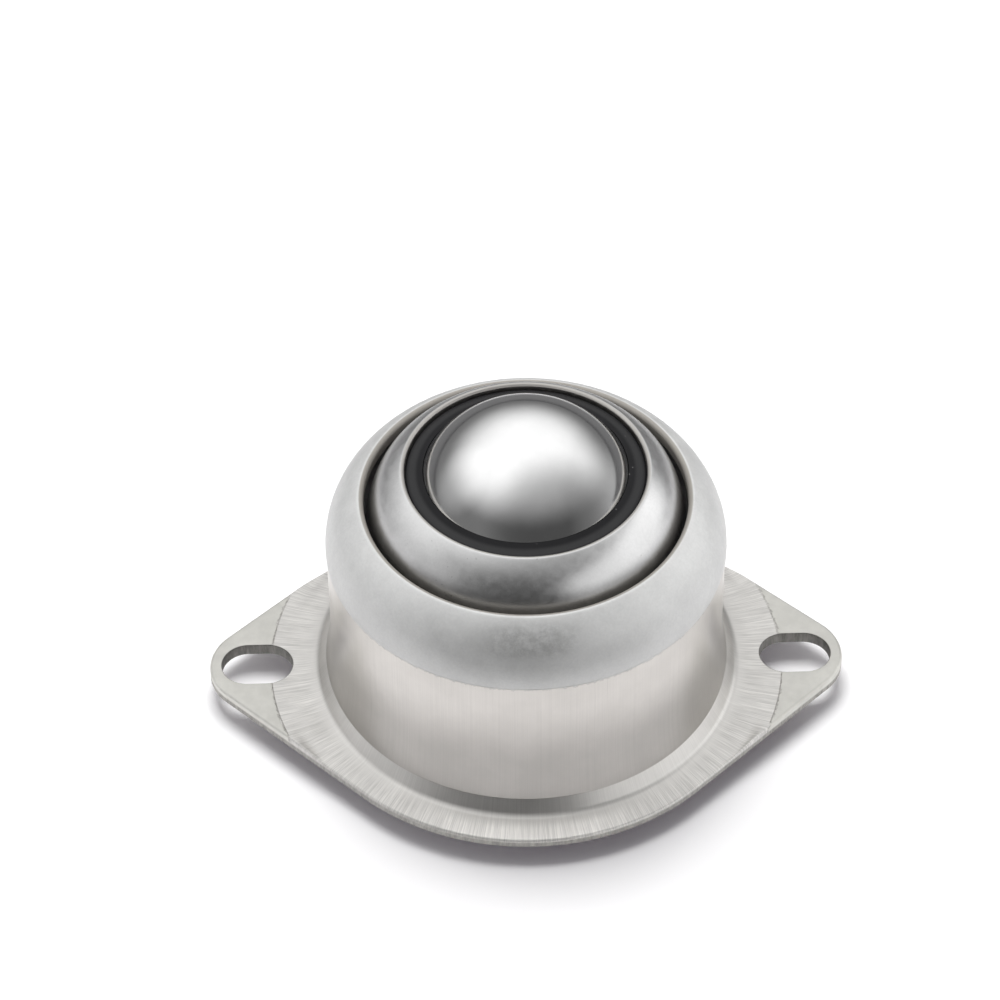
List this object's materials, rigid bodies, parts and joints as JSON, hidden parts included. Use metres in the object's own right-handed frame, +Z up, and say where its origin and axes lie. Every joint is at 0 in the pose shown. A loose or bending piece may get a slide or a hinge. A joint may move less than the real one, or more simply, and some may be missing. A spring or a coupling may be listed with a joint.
{
  "type": "ball transfer unit",
  "caption": "Spring-loaded ball transfer unit: a load ball on support balls in a sealed capsule that sinks into a drawn steel housing with a slotted flange.",
  "frame": {"origin": "centre of the flange's underside, on the unit's axis", "axes": "+Z up the unit's axis towards the load ball, +X along the flange from the centre to one of its two slots"},
  "size_m": [0.0722, 0.0534, 0.0383],
  "materials": {
    "drawn_steel": "drawn sheet steel, pale dull plating, ironed smooth on the neck",
    "cap_steel": "satin drawn steel with a burnished rolled edge",
    "polished_ball": "ground and polished bearing steel",
    "bed_ball_steel": "ground and polished bearing steel",
    "hardened_steel": "hardened, dull grey outside, lapped inside",
    "black_seal": "moulded, matt black",
    "spring_steel": "oiled spring wire",
    "base_steel": "blanked sheet steel, dull plating"
  },
  "bodies": {
    "base": {"housing": "drawn_steel", "base_plate": "base_steel", "spring": "spring_steel"},
    "capsule": {"capsule_cap": "cap_steel", "bearing_cup": "hardened_steel", "seal_ring": "black_seal"},
    "ball_bed": {"support_ball_01": "bed_ball_steel", "support_ball_02": "bed_ball_steel", "support_ball_03": "bed_ball_steel", "support_ball_04": "bed_ball_steel", "support_ball_05": "bed_ball_steel", "support_ball_06": "bed_ball_steel", "support_ball_07": "bed_ball_steel", "support_ball_08": "bed_ball_steel", "support_ball_09": "bed_ball_steel", "support_ball_10": "bed_ball_steel", "support_ball_11": "bed_ball_steel", "support_ball_12": "bed_ball_steel", "support_ball_13": "bed_ball_steel", "support_ball_14": "bed_ball_steel", "support_ball_15": "bed_ball_steel", "support_ball_16": "bed_ball_steel", "support_ball_17": "bed_ball_steel", "support_ball_18": "bed_ball_steel", "support_ball_19": "bed_ball_steel", "support_balls_row_3": "bed_ball_steel", "support_balls_row_4": "bed_ball_steel"},
    "ball": {"load_ball": "polished_ball"}
  },
  "joints": [
    {"name": "capsule_plunge", "type": "slide", "parent": "base", "child": "capsule", "axis": [0, 0, -1], "range_m": [0, 0.004], "stiffness_N_per_m": 12000, "springref_m": -0.005, "deforming": ["spring"]},
    {"name": "ball_heading", "type": "hinge", "parent": "capsule", "child": "ball_bed", "pos_m": [0, 0, 0.02565], "axis": [0, 0, 1], "continuous": true},
    {"name": "ball_roll", "type": "hinge", "parent": "ball_bed", "child": "ball", "pos_m": [0, 0, 0.02565], "axis": [1, 0, 0], "continuous": true}
  ]
}
